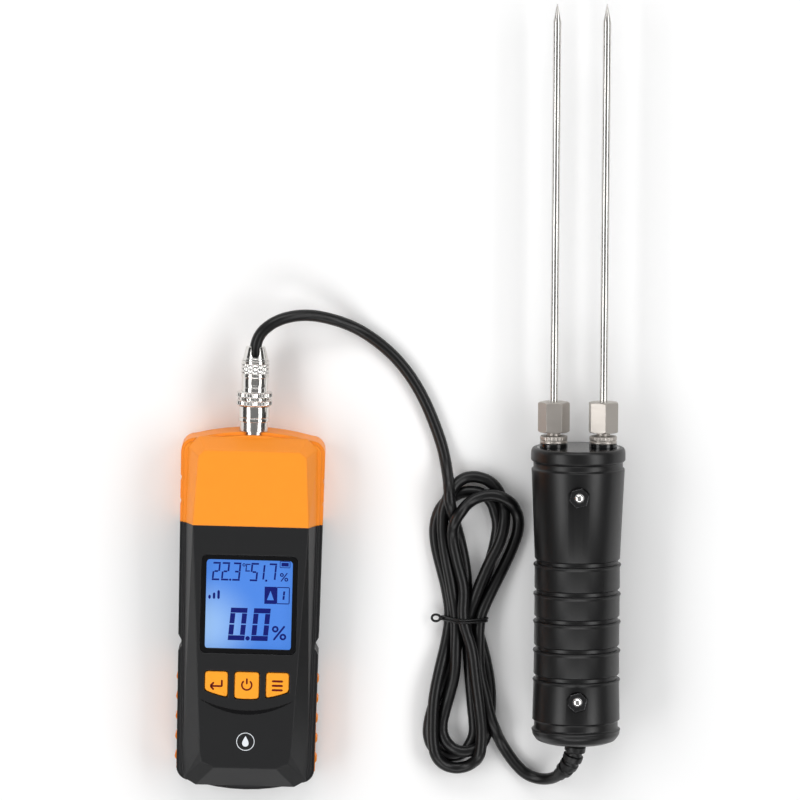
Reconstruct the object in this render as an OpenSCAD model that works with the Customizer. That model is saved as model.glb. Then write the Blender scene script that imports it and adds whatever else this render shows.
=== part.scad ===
// Pin-type grain moisture meter: a hand-held meter and a two-needle probe on a plug-in lead,
// laid side by side on a table. +X to the right, +Y along the needles, +Z up from the table.
// The meter's back and the probe's grip rest on z = 0. Lengths are in millimetres.

/* [Layout] */
// Distance of the meter's centre line left of the origin
meter_offset = 67; // [66:0.5:70]
// Lean of the meter towards the probe, in degrees
meter_lean = 1.2; // [0:0.1:1.5]
// Distance of the probe's axis right of the origin
probe_offset = 79; // [78:0.5:80]
// Distance from the origin to the meter's lower end and to the needle points
half_length = 176; // [175:0.5:178]

/* [Meter case] */
// Length of the case from end to end
case_len = 161; // [158:1:163]
// Half width of the case at the seam between its cap and its body
case_half_w = 32; // [32:0.1:32.4]
// Half width of the case at its lower end
case_half_w_end = 30.8; // [30.5:0.1:31.2]
// Height of the panel face above the table
case_top = 31.7; // [31.5:0.1:32]
// Length of the coloured cap
cap_len = 41; // [40:0.5:42]
// Wall thickness of the front panel and the cap
wall = 2.2; // [2:0.1:2.3]
// Travel of a key
key_travel = 0.8; // [0.5:0.1:0.9]
// Clearance around a key
key_gap = 0.35; // [0.3:0.05:0.5]

/* [Battery bay] */
// Diameter of one AAA cell
cell_d = 10.3; // [10:0.1:10.4]
// Length of one AAA cell
cell_len = 44.2; // [44:0.1:44.5]
// Distance between neighbouring cells
cell_pitch = 10.8; // [10.6:0.1:10.9]

/* [Plug and socket] */
// Radius of the ring that pulls back to free the plug
ring_r = 7.9; // [7.6:0.1:8.2]
// Radius of the plug's rear body
plug_r = 5.93; // [5.9:0.01:5.95]
// Height of the plug's axis above the table
plug_z = 16; // [15.5:0.1:16.5]

/* [Probe] */
// Largest radius of the grip, at its top rim
grip_r = 21; // [20.8:0.1:21.2]
// Distance between the needle axes
needle_pitch = 22; // [21:0.5:23]
// Radius of a needle
needle_r = 1.8; // [1.5:0.1:2]
// Length of a needle's pointed end
needle_tip = 8; // [6:1:10]
// Width across the flats of a clamp nut
nut_flats = 12.2; // [12:0.1:12.6]
// Lean of each stud nut towards the needles, in degrees
stud_lean = 12; // [0:1:15]

/* [Lead] */
// Diameter of the lead
cord_d = 5.2; // [5:0.1:5.4]
// Height of the tied hank
hank_h = 14.5; // [14:0.5:16]

/* [Hidden] */
$fn = 64;
eps = 0.01;

meter_x = -meter_offset;
case_y0 = -half_length;
case_y1 = case_y0 + case_len;
case_mid = case_y0 + case_len / 2;
seam_y = case_y1 - cap_len;
split_z = 17;
floor_t = 3;
strip_z = 22;
side_wall = 4.5;
end_crown = 3.6;
top_crown = 3.4;
screw_x = 26.2;
screw_y = [case_y0 + 8.5, seam_y - 6];

display_y = -91;
display_half_w = 21.2;
display_half_l = 21.9;
key_x = [-13.6, 0, 13.6];
key_w = [10.1, 10.8, 10.1];
key_y1 = -121.2;
key_y0 = -133.3;
key_arc_r = 49.4;
key_top = case_top + 0.7;

board_z = 18;
board_t = 1.6;
board_half_w = 24;

bay_half_w = 21.9;
bay_y0 = case_y0 + 3.5;
bay_y1 = bay_y0 + cell_len + 9;
bay_z1 = 14.6;
cell_z = floor_t + 0.4 + cell_d / 2;
cell_y0 = bay_y0 + 5.2;
door_y1 = bay_y1 + 5;
door_half_w = 22.2;
tongue_half_w = 23;

grip_x = probe_offset;
grip_z = grip_r;
grip_y1 = -20.9;
grip_y0 = -153.5;
needle_x = [-needle_pitch / 2, needle_pitch / 2];
nut_y0 = -14.2;
nut_y1 = -0.7;
stem_r = 3;
shank_r = 2.4;
stud_y = [-41.6, -133.3];
stud_surface = [20.1, 19.2];
stud_angle = [stud_lean, stud_lean + 8];

// Centre line of the lead from the plug to the hank
lead_route = [
    [-64.6, 18, 16], [-64.5, 23, 16], [-62.2, 28.6, 16], [-57, 33, 15.5], [-50, 35.6, 13.8], [-41.4, 36.2, 11],
    [-31.3, 34.3, 8], [-20.5, 30, 5], [-9.7, 23, 3.4], [-1.5, 15.5, 2.7], [5.3, 6.7, 2.7], [10.7, -2.8, 2.7],
    [15.6, -14.3, 2.7], [19, -24.6, 3.6], [21, -34.5, 7.5], [21.8, -41, 11.5]
];
// Centre line of the lead from the hank to the boot
tail_route = [
    [38.4, -145, 5.6], [45, -155, 3.2], [50.5, -164, 2.7], [57, -171, 2.8], [63, -173, 5],
    [69, -172, 9.5], [73, -168.5, 14]
];
// Centre line of the boot where the lead enters the grip
boot_route = [
    [79, -150, 21], [79, -154, 21], [78.5, -158, 20.6], [77.4, -161.6, 19.6], [75.6, -165, 17.6],
    [73.4, -168, 14.6]
];
hank_waist = [28.4, -100];
hank_top = [34, -56];
hank_foot = [26, -157];

// ---------- shared shapes ----------

module meter() {
    translate([meter_x, case_mid, 0]) rotate([0, 0, -meter_lean]) translate([0, -case_mid, 0]) children();
}

// Box from a low corner to a high corner
module block(low, high) {
    translate(low) cube(high - low);
}

// Turned shape: the profile's [radius, y] points spun about the Y axis
module turned(profile) {
    rotate([-90, 0, 0]) rotate_extrude() polygon(profile);
}

// Straight cylinder along +Y
module rod(r, y0, y1) {
    translate([0, y0, 0]) rotate([-90, 0, 0]) cylinder(r = r, h = y1 - y0);
}

module tube(r_out, r_in, y0, y1) {
    difference() {
        rod(r_out, y0, y1);
        rod(r_in, y0 - 1, y1 + 1);
    }
}

// Square with four round corners, made of true arcs
module round_rect(half_w, half_l, r) {
    square([2 * half_w, 2 * (half_l - r)], center = true);
    square([2 * (half_w - r), 2 * half_l], center = true);
    for (sx = [-1, 1])
        for (sy = [-1, 1])
            translate([sx * (half_w - r), sy * (half_l - r)]) circle(r = r);
}

// Outline with bowed ends and round corners: half widths and y of its lower and upper end
function bowed_edge(half_w, y, bow, steps) =
    [for (i = [0:steps]) let (x = half_w * (2 * i / steps - 1))
        [x, y + bow * (1 - pow(x / half_w, 2))]];
function corner(cx, cy, r, from) =
    [for (a = [from + 15:15:from + 75]) [cx + r * cos(a), cy + r * sin(a)]];
function bowed_outline(w0, w1, y0, y1, bow0, bow1, r, inset = 0) =
    let (a = w0 - inset, b = w1 - inset, c = y0 + inset, d = y1 - inset, k = max(r - inset, 1))
    concat(
        bowed_edge(a - k, c, -bow0, 8), corner(a - k, c + k, k, -90),
        [[a, c + k], [b, d - k]], corner(b - k, d - k, k, 0),
        [for (p = bowed_edge(b - k, d, bow1, 8)) [-p[0], p[1]]], corner(-b + k, d - k, k, 90),
        [[-b, d - k], [-a, c + k]], corner(-a + k, c + k, k, 180)
    );

module slab(points, z, t = 0.1) {
    translate([0, 0, z]) linear_extrude(t) polygon(points);
}

function case_points(inset) = bowed_outline(
    case_half_w_end, case_half_w, case_y0 + end_crown, case_y1 - top_crown,
    end_crown, top_crown, 6, inset);

// Coarse half outlines of the raised front, as [half width, y] from the lower to the upper end
base_line = [[22, -174], [27.2, -171], [28.2, -163], [29.3, seam_y], [28.8, -22], [24, -17.4]];
panel_line = [[14, -164.6], [19.4, -162], [20.4, -158], [25.7, seam_y], [24, -25], [21, -22.4]];
function both_sides(line, inset) = concat(
    [for (p = line) [p[0] - inset, p[1] + (p[1] < display_y ? inset : -inset)]],
    [for (i = [len(line) - 1:-1:0]) let (p = line[i])
        [inset - p[0], p[1] + (p[1] < display_y ? inset : -inset)]]);

// Lower body of the case, with a stepped side strip
module case_lower(inset, z0 = 0) {
    slab(case_points(inset), z0, strip_z - 2 - z0);
    slab(case_points(inset + 1.4), z0, strip_z - z0);
}

// Raised front of the case, narrowing to the flat panel
module case_upper(inset) {
    hull() {
        slab(both_sides(base_line, inset), split_z, strip_z - split_z);
        slab(both_sides(panel_line, inset), case_top - inset - 0.1);
    }
}

// V-shaped waist in both sides of the case
module waist_notches() {
    for (side = [-1, 1])
        translate([0, -110.5, -1])
            linear_extrude(strip_z + 1)
                polygon([[side * 33, -7], [side * 29.7, -1], [side * 29.7, 1], [side * 33, 7]]);
}

// Rings about each point of a route, joined into one closed tube
function unit(v) = v / norm(v);
function heading(path, i) =
    unit(path[min(i + 1, len(path) - 1)] - path[max(i - 1, 0)]);
function ring(centre, dir, r, sides) =
    let (across = unit(cross([0, 0, 1], dir)), up = cross(dir, across))
    [for (k = [0:sides - 1]) let (a = 360 * (k + 0.5) / sides)
        centre + r * (across * cos(a) + up * sin(a))];
module swept_tube(path, r, sides = 10) {
    rings = len(path);
    points = [for (i = [0:rings - 1]) each ring(path[i], heading(path, i), r, sides)];
    walls = [for (i = [0:rings - 2]) for (k = [0:sides - 1])
        let (a = i * sides + k, b = i * sides + (k + 1) % sides)
        [a, a + sides, b + sides, b]];
    start = [for (k = [0:sides - 1]) k];
    end = [for (k = [0:sides - 1]) rings * sides - 1 - k];
    polyhedron(points, concat([start], walls, [end]));
}

// ---------- meter case ----------

module front_housing() color("#2b2c2e") meter() {
    difference() {
        intersection() {
            union() {
                case_lower(0);
                case_upper(0);
            }
            block([-40, case_y0 - 1, split_z], [40, seam_y, case_top + 1]);
        }
        difference() {
            union() {
                case_lower(side_wall, split_z - 2);
                case_upper(wall);
            }
            case_posts(2.6, split_z, strip_z - 0.5);
        }
        waist_notches();
        translate([0, display_y, case_top - 1.4])
            linear_extrude(3) round_rect(display_half_w + 0.2, display_half_l + 0.2, 2.5);
        translate([0, display_y, strip_z])
            linear_extrude(20) round_rect(display_half_w - 2, display_half_l - 1.5, 1.5);
        for (i = [0:2])
            translate([0, 0, strip_z]) linear_extrude(20) key_outline(i, key_gap);
        case_posts(1.22, split_z - 1, strip_z - 1.5);
    }
    difference() {
        board_posts(2.4, board_z + board_t, case_top - wall + 0.6);
        board_posts(1.17, board_z, board_z + 6);
    }
    // Tongue that enters the cap
    block([-19, seam_y - 4, case_top - wall - 2.6], [19, seam_y + 5, case_top - wall - 0.6]);
    block([-19, seam_y - 4, case_top - wall - 2.6], [19, seam_y - 2, case_top - wall + 0.4]);
}

// Upright cylinders at the four case screws, used for posts, holes and recesses
module case_posts(r, z0, z1) {
    for (sx = [-1, 1])
        for (y = screw_y)
            translate([sx * screw_x, y, z0]) cylinder(r = r, h = z1 - z0);
}

// The same at the four board screws
module board_posts(r, z0, z1) {
    for (sx = [-1, 1])
        for (y = [-157, -139])
            translate([sx * 17, y, z0]) cylinder(r = r, h = z1 - z0);
}

module rear_housing() color("#2b2c2e") meter() {
    difference() {
        intersection() {
            case_lower(0);
            block([-40, case_y0 - 1, -1], [40, seam_y, split_z]);
        }
        difference() {
            intersection() {
                case_lower(side_wall, floor_t);
                block([-40, case_y0, floor_t], [40, seam_y - 2, split_z + 5]);
            }
            case_posts(2.6, 0, split_z);
            block(
                [-bay_half_w - 1.5, bay_y0 - 1.5, floor_t - 1],
                [bay_half_w + 1.5, bay_y1 + 1.5, bay_z1 + 1.4]
            );
        }
        waist_notches();
        // Battery bay, open towards the table
        block([-bay_half_w, bay_y0, 1], [bay_half_w, bay_y1, bay_z1]);
        // Slideway of the battery door
        block([-door_half_w - 0.3, case_y0 - 5, -1], [door_half_w + 0.3, door_y1 + 0.3, 2.6]);
        block(
            [-tongue_half_w - 0.3, case_y0 - 5, 0.9],
            [tongue_half_w + 0.3, door_y1 + 0.3, 2.6]
        );
        case_posts(1.4, -1, split_z + 1);
        case_posts(2.4, -1, 3.4);
        for (sx = [-1, 1]) grip_pocket(sx);
        // Open mouth into the cap
        block([-22, seam_y - 3, 7], [22, seam_y + 1, split_z + 1]);
    }
    // Tongue that enters the cap
    difference() {
        block([-19, seam_y - 1, wall + 0.9], [19, seam_y + 6, wall + 4.4]);
        cap_screw_holes(1.22, 0, 8);
    }
}

module cap_screw_holes(r, z0, z1) {
    for (sx = [-1, 1])
        translate([sx * 14, seam_y + 3, z0]) cylinder(r = r, h = z1 - z0);
}

// Recess for a ribbed side grip
module grip_pocket(side) {
    low = side > 0 ? 30 : -34;
    block([low, -168, 5], [low + 4, -120, 15]);
}

module side_grip(side) color("#f58a1f") meter() {
    x0 = side > 0 ? 30 : -31;
    block([x0, -167.9, 5.1], [x0 + 1, -120.1, 14.9]);
    intersection() {
        for (i = [0:4])
            translate([side * 29.8, -126.4 - 9 * i, 5.1]) cylinder(r = 2, h = 9.8);
        block([side > 0 ? 30 : -34, -170, 5], [side > 0 ? 34 : -30, -119, 15]);
    }
}

module side_grip_left() side_grip(-1);
module side_grip_right() side_grip(1);

module top_cap() color("#f58a1f") meter() {
    difference() {
        intersection() {
            union() {
                case_lower(0);
                case_upper(0);
            }
            block([-40, seam_y, -1], [40, case_y1 + 1, case_top + 1]);
        }
        intersection() {
            union() {
                case_lower(3.4, wall);
                case_upper(wall);
            }
            block([-40, seam_y - 1, wall], [40, case_y1 - 3.2, case_top]);
        }
        // Grip notches and the air slots for the sensor behind them
        for (side = [-1, 1])
            for (y = [-36.3, -46.7]) {
                translate([side * 33.4, y, 3]) cylinder(r = 2, h = strip_z - 5);
                translate([side * 30, y, 13]) cube([8, 1.2, 9], center = true);
            }
        translate([0, case_y1 - 10, plug_z]) rod(5.05, 0, 20);
        cap_screw_holes(1.4, -1, 5);
        cap_screw_holes(2.4, -1, 1.2);
    }
}

module battery_door() color("#2b2c2e") meter() {
    intersection() {
        slab(case_points(0.4), 0, 4);
        union() {
            block([-door_half_w, case_y0 - 1, 0.3], [door_half_w, door_y1, 2.3]);
            block([-tongue_half_w, case_y0 - 1, 1.2], [tongue_half_w, door_y1, 2.3]);
        }
    }
}

// ---------- display and electronics ----------

module display_window() color("#9cc4f0", 0.35) meter()
    translate([0, display_y, case_top - 1])
        linear_extrude(0.8) round_rect(display_half_w, display_half_l, 2.4);

module window_gasket() color("#141414") meter()
    translate([0, display_y, case_top - 1.4])
        linear_extrude(0.4) difference() {
            round_rect(display_half_w, display_half_l, 2.4);
            square([38.4, 39.8], center = true);
        }

module lcd_panel() color("#5f9ae8") meter()
    block([-20.6, -114.6, 25.6], [20.6, -69.2, 27.8]);

module backlight() color("#e8eef5") meter()
    block([-20.4, -112.4, 22.6], [20.4, -69.4, 25.4]);

module lcd_frame() color("#d8d8d4") meter() {
    difference() {
        block([-21.8, -116, board_z + board_t], [21.8, -68, 28]);
        block([-20.7, -114.8, 21], [20.7, -69, 30]);
    }
}

module zebra_strip() color("#3a3a40") meter()
    block([-19, -114.4, 21], [19, -112.8, 25.6]);

module circuit_board() color("#1f6b3a") meter()
    difference() {
        block([-board_half_w, -163, board_z], [board_half_w, -61, board_z + board_t]);
        board_posts(1.2, board_z - 1, board_z + board_t + 1);
        // Clear the tall parts of the case corners
        for (sx = [-1, 1])
            translate([sx * screw_x, screw_y[1], board_z - 1]) cylinder(r = 3.2, h = 5);
    }

module board_parts() color("#202024") meter() {
    block([-7, -155, board_z + board_t], [7, -141, board_z + board_t + 1.6]);
    translate([-15, -148, board_z + board_t]) cylinder(r = 4.5, h = 4);
    block([10, -153, board_z + board_t], [14, -144, board_z + board_t + 2]);
    for (i = [0:3])
        block(
            [-20 + 4 * i, -66, board_z - 1.2],
            [-18 + 4 * i, -63, board_z]
        );
}

module board_screws() color("silver") meter() {
    board_posts(2, board_z - 1.2, board_z);
    board_posts(1.15, board_z - eps, board_z + 5);
}

module keypad_mat() color("#c9c9c4") meter() {
    difference() {
        block([-21, -134.5, board_z + board_t], [21, -119.5, board_z + board_t + 1.4]);
        for (x = key_x)
            translate([x, -126.5, board_z]) cylinder(r = 2, h = 2.4);
    }
    for (x = key_x)
        translate([x, -126.5, board_z + board_t + 1.4]) cylinder(r1 = 3.6, r2 = 2.6, h = 2.4);
}

// Plan outline of a key: bowed lower edge shared by the row of three
module key_outline(i, gap) {
    half_w = key_w[i] / 2 + gap;
    length = key_y1 - key_y0 + 2 * gap;
    intersection() {
        translate([key_x[i], (key_y1 + key_y0) / 2]) round_rect(half_w, length / 2, 1.3 + gap);
        translate([0, key_y0 + key_arc_r]) circle(r = key_arc_r + gap, $fn = 128);
    }
}

module key(i) color("#ffa02c") meter() {
    translate([0, 0, case_top - wall - 0.6])
        linear_extrude(key_top - case_top + wall + 0.6) key_outline(i, 0);
    translate([0, 0, case_top - wall - 1.4]) linear_extrude(0.8) key_outline(i, 0.9);
    translate([key_x[i], -126.5, 24.8 + 0.1])
        cylinder(r = 2.4, h = case_top - wall - 1.4 - 24.9 + eps);
}

module key_enter() key(0);
module key_power() key(1);
module key_set() key(2);

// ---------- battery bay ----------

module batteries() color("#3f4450") meter() {
    for (i = [0:3])
        translate([(i - 1.5) * cell_pitch, 0, cell_z]) {
            rod(cell_d / 2, cell_y0, cell_y0 + cell_len - 1);
            rod(1.9, cell_y0 + cell_len - 1 - eps, cell_y0 + cell_len);
        }
}

module battery_contacts() color("silver") meter() {
    for (i = [0:3])
        translate([(i - 1.5) * cell_pitch, 0, cell_z]) {
            block([-4, bay_y0 + cell_len + 5.2, -4], [4, bay_y0 + cell_len + 5.7, 4]);
            block([-4, bay_y0 + 0.3, -4], [4, bay_y0 + 0.8, 4]);
            turned([[0, bay_y0 + 0.8], [3.4, bay_y0 + 0.8], [2.2, cell_y0], [0, cell_y0]]);
        }
}

module housing_screws() color("silver") meter() {
    case_posts(2.2, 1.6, 3.4);
    case_posts(1.2, 3.4 - eps, split_z + 2.8);
}

module cap_screws() color("silver") meter() {
    cap_screw_holes(2.2, 0.4, 1.2);
    cap_screw_holes(1.2, 1.2 - eps, 6);
}

module air_sensor() color("#e6e6e2") meter() {
    block([-26, -50, 10], [-24.8, -34, 22]);
    block([-24.8, -45, 13], [-22, -39, 19]);
}

// ---------- socket ----------

module at_socket() {
    meter() translate([0, 0, plug_z]) children();
}

module socket_shell() color("#c9c9cc") at_socket()
    difference() {
        union() {
            rod(6.3, case_y1, case_y1 + 4.2);
            rod(5, case_y1 - 11, case_y1 + eps);
        }
        rod(4.6, case_y1 - 9, case_y1 + 5);
        rod(3.2, case_y1 - 12, case_y1);
    }

module socket_nut() color("#b8b8bc") at_socket()
    difference() {
        translate([0, case_y1 - 8.2, 0]) rotate([-90, 0, 0]) cylinder(r = 8, h = 2.6, $fn = 6);
        rod(5.05, case_y1 - 9, case_y1);
    }

module socket_insert() color("#e9e4d6") at_socket()
    difference() {
        rod(3.15, case_y1 - 13, case_y1 - 6.2);
        for (a = [0:120:240])
            rotate([0, a, 0]) translate([1.8, 0, 0]) rod(0.6, case_y1 - 11, case_y1);
    }

module socket_leads() color("#b03030") meter() {
    for (side = [-1, 1])
        swept_tube(
            [[side * 1.5, case_y1 - 13, plug_z], [side * 2, case_y1 - 20, plug_z],
            [side * 6, case_y1 - 30, plug_z], [side * 10, seam_y - 3, 15],
            [side * 14, seam_y - 6, 15.6]],
            0.6, 8);
}

// ---------- plug ----------

module plug_body() color("#c4c4c8") at_socket()
    difference() {
        turned([[0, -17.6], [4.52, -17.6], [4.52, -10.7], [6.9, -10.7], [6.9, -3.9], [plug_r, -3.9],
            [plug_r, 10], [0, 10]]);
        rod(3.9, -18, -7);
        rod(3, -8, 11);
        // Keyway on the smooth rear body
        block([-2, 5.6, plug_r - 0.5], [2.6, 8.7, plug_r + 1]);
    }

module plug_insert() color("#e9e4d6") at_socket()
    difference() {
        rod(3.85, -13.6, -7);
        for (a = [0:120:240])
            rotate([0, a, 0]) translate([1.8, 0, 0]) rod(0.55, -14, -6);
    }

module plug_pins() color("#d9b45a") at_socket()
    for (a = [0:120:240])
        rotate([0, a, 0]) translate([1.8, 0, 0]) rod(0.5, -24.4, -7.5);

module coupling_ring() color("#d0d0d4") at_socket()
    difference() {
        turned([[0, -3.6], [7.4, -3.6], [ring_r, -3.2], [ring_r, -1.2], [7.3, -0.9],
            [7.3, 0.1], [ring_r, 0.4], [ring_r, 2.4], [7.4, 2.8], [0, 2.8]]);
        rod(plug_r + 0.07, -5, 4);
    }

module plug_nut() color("#c4c4c8") at_socket()
    difference() {
        turned([[0, 8.9], [5.9, 8.9], [6.2, 9.2], [6.2, 16.3], [5.9, 16.6], [0, 16.6]]);
        rod(plug_r, 8, 10);
        rod(3, 9, 17);
    }

module plug_clamp() color("#c4c4c8") at_socket()
    difference() {
        turned([[0, 16.6], [5.85, 16.6], [4.25, 22.7], [0, 22.7]]);
        rod(cord_d / 2 + 0.1, 16, 23);
        // Window on the front and back that shows the lead
        for (side = [0, 180])
            rotate([0, side, 0]) {
                block([-1.9, 19.8, 2], [1.9, 23, 7]);
                translate([0, 19.8, 2]) cylinder(r = 1.9, h = 5);
            }
    }

// ---------- lead ----------

module cord_lead() color("#1a1a1b") swept_tube(lead_route, cord_d / 2);
module cord_tail() color("#1a1a1b") swept_tube(tail_route, cord_d / 2);

module cord_hank() color("#1a1a1b")
    linear_extrude(hank_h) {
        hull() {
            translate(hank_waist) circle(r = 8.5, $fn = 32);
            translate(hank_top) circle(r = 21.4, $fn = 32);
        }
        hull() {
            translate(hank_waist) circle(r = 8.5, $fn = 32);
            translate(hank_foot) circle(r = 15.4, $fn = 32);
        }
    }

// Wire tie around the waist of the hank, with its twisted end on the left
module cord_tie() color("#1a1a1b")
    translate([hank_waist[0], hank_waist[1], 0]) {
        difference() {
            block([-9.6, -0.7, 0], [9.6, 0.7, hank_h + 1]);
            block([-8.4, -1, 1.2], [8.4, 1, hank_h - 0.2]);
        }
        translate([-11.4, 0, 8]) difference() {
            cylinder(r = 3, h = 1.4);
            translate([0, 0, -1]) cylinder(r = 1.6, h = 4);
        }
    }

module strain_relief() color("#1c1c1d") {
    swept_tube(boot_route, 3.4, 12);
    for (i = [2:4])
        let (d = heading(boot_route, i))
            translate(boot_route[i])
                rotate([0, acos(d[2]), atan2(d[1], d[0])])
                    cylinder(r = 4.5, h = 2, center = true);
}

// ---------- probe ----------

module at_grip() {
    translate([grip_x, 0, grip_z]) children();
}

// Grip's outer line from its top rim to its foot, as [radius, y]
function groove(y, depth_r, lip_r, band_r) =
    [[band_r, y + 2.6], [depth_r, y + 2], [depth_r, y + 0.4], [lip_r, y], [band_r, y - 0.6]];
grip_profile = concat(
    [[18.8, grip_y1], [grip_r - 0.7, grip_y1 - 0.8], [grip_r, grip_y1 - 2.6],
        [grip_r, -26.4], [grip_r - 0.5, -26.9], [grip_r - 1.1, -27.4], [grip_r - 1.1, -29.8],
        [grip_r - 0.2, -30.4]],
    groove(-73, 18.2, 19.5, 19),
    groove(-86.2, 18.2, 19.5, 19),
    groove(-98.6, 18.2, 19.5, 19),
    groove(-111.6, 18.2, 19.5, 19),
    groove(-124.7, 18.2, 19.5, 19.1),
    [[19.5, -142.8], [18.7, -143.4], [18.7, -146.6], [19.9, -147.2], [19.6, -148],
        [19.4, -149.6], [17.6, -152.2], [14, grip_y0]]
);

module grip_shell() color("#1f1f20") at_grip()
    difference() {
        turned(concat([[0, grip_y1]], grip_profile, [[0, grip_y0]]));
        rod(17, -148, grip_y1 + 1);
        rod(18.4, -27, grip_y1 + 1);
        rod(4.6, grip_y0 - 1, -140);
        at_studs() {
            cylinder(r = 5, h = 6);
            translate([0, 0, -8]) cylinder(r = 2.2, h = 12);
        }
    }

module at_studs() {
    for (i = [0:1])
        translate([0, stud_y[i], stud_surface[i]]) rotate([-stud_angle[i], 0, 0]) children();
}

module grip_face() color("#242425") at_grip()
    difference() {
        rod(18.35, -27, grip_y1);
        for (x = needle_x) translate([x, 0, 0]) rod(stem_r + 0.05, -30, 0);
    }

module electrode_block() color("#dcd8cc") at_grip()
    difference() {
        rod(16.9, -58, -27);
        for (x = needle_x) translate([x, 0, 0]) {
            rod(stem_r + 0.05, -38, 0);
            rod(4.6, -60, -36);
        }
        at_studs() translate([0, 0, -14]) cylinder(r = 2.05, h = 14);
    }

module cord_anchor() color("#dcd8cc") at_grip()
    difference() {
        rod(16.9, -147.9, -120);
        rod(4.6, -150, -119);
        at_studs() translate([0, 0, -13]) cylinder(r = 2.05, h = 14);
    }

module probe_leads() color("#b03030") {
    for (x = needle_x)
        swept_tube(
            [[grip_x + x, -40, grip_z], [grip_x + x, -60, grip_z],
            [grip_x + x * 0.5, -95, grip_z - 6], [grip_x + x * 0.16, -118, grip_z],
            [grip_x + x * 0.16, -147, grip_z]],
            0.9, 8);
}

module electrode_collars() color("#161616") at_grip()
    for (x = needle_x) translate([x, 0, 0]) tube(6.2, stem_r + 0.05, grip_y1, -19.2);

module electrode_locknuts() color("#c8c6c2") at_grip()
    for (x = needle_x) translate([x, 0, 0]) tube(6.1, stem_r + 0.05, -19.2, -15.7);

module electrode_stems() color("#b8b6b2") at_grip()
    for (x = needle_x) translate([x, 0, 0]) tube(stem_r, shank_r + 0.05, -36, -3);

module solder_lugs() color("#d9b45a") at_grip()
    for (x = needle_x) translate([x, 0, 0]) tube(4.4, 2.5, -37.6, -36);

module clamp_nut(x) color("#c8c6c2") at_grip() translate([x, 0, 0])
    difference() {
        intersection() {
            translate([0, nut_y0, 0]) rotate([-90, 0, 0])
                rotate([0, 0, x > 0 ? 36 : 0])
                    cylinder(r = nut_flats / sqrt(3), h = nut_y1 - nut_y0, $fn = 6);
            turned([[0, nut_y0], [6.2, nut_y0], [7.2, nut_y0 + 0.6], [7.2, nut_y1 - 0.6],
                [6.2, nut_y1], [0, nut_y1]]);
        }
        rod(stem_r + 0.08, nut_y0 - 1, nut_y1 - 2);
        rod(shank_r + 0.08, nut_y1 - 3, nut_y1 + 1);
    }

module clamp_nut_left() clamp_nut(needle_x[0]);
module clamp_nut_right() clamp_nut(needle_x[1]);

module needle(x) color("#c0c0c2") at_grip() translate([x, 0, 0])
    turned([[0, -34], [shank_r, -34], [shank_r, nut_y1 + 0.1], [needle_r, nut_y1 + 0.1],
        [needle_r, half_length - needle_tip], [0.15, half_length], [0, half_length]]);

module needle_left() needle(needle_x[0]);
module needle_right() needle(needle_x[1]);

module grip_studs() color("#d8d8d8") at_grip()
    at_studs() translate([0, 0, -12]) cylinder(r = 2, h = 17);

module grip_nuts() color("#2a2a2c") at_grip()
    at_studs() difference() {
        rotate([0, 0, 15]) cylinder(r = 4.5, h = 3.6, $fn = 6);
        translate([0, 0, -1]) cylinder(r = 2.02, h = 6);
    }

front_housing();
rear_housing();
top_cap();
side_grip_left();
side_grip_right();
battery_door();
display_window();
window_gasket();
lcd_panel();
backlight();
lcd_frame();
zebra_strip();
circuit_board();
board_parts();
board_screws();
keypad_mat();
key_enter();
key_power();
key_set();
batteries();
battery_contacts();
housing_screws();
cap_screws();
air_sensor();
socket_shell();
socket_nut();
socket_insert();
socket_leads();
plug_body();
plug_insert();
plug_pins();
coupling_ring();
plug_nut();
plug_clamp();
cord_lead();
cord_hank();
cord_tie();
cord_tail();
strain_relief();
grip_shell();
grip_face();
electrode_block();
cord_anchor();
probe_leads();
electrode_collars();
electrode_locknuts();
electrode_stems();
solder_lugs();
clamp_nut_left();
clamp_nut_right();
needle_left();
needle_right();
grip_studs();
grip_nuts();
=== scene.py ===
import math

import bmesh
import bpy
import numpy as np
from mathutils import Matrix, Vector


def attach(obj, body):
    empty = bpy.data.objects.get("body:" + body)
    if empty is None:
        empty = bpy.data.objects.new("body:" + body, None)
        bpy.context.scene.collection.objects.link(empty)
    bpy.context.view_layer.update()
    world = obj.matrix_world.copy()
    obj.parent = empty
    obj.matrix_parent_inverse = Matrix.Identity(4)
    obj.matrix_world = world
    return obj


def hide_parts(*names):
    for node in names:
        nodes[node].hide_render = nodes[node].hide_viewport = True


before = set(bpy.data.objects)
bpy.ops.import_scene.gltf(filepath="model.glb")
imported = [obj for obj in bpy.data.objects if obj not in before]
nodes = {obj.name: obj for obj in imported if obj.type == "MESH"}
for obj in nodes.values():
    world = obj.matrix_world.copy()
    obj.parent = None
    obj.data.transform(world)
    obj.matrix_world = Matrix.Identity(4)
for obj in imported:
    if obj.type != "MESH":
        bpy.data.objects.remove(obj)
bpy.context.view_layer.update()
MM = 0.001

# Middle lines of the meter, its plug and the probe, in millimetres
METER_X, METER_MID_Y = -67, -95.5
METER_LEAN = math.radians(-1.2)
PLUG_X, PLUG_Z = METER_X, 16
GRIP_X, GRIP_Z = 79, 21


def mm(*p):
    """Point in metres from millimetres."""
    return Vector(p) * MM


def turns(n):
    """Angles of n equal steps round a full turn."""
    return [2 * math.pi * k / n for k in range(n)]


# ---------- camera ----------

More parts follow.
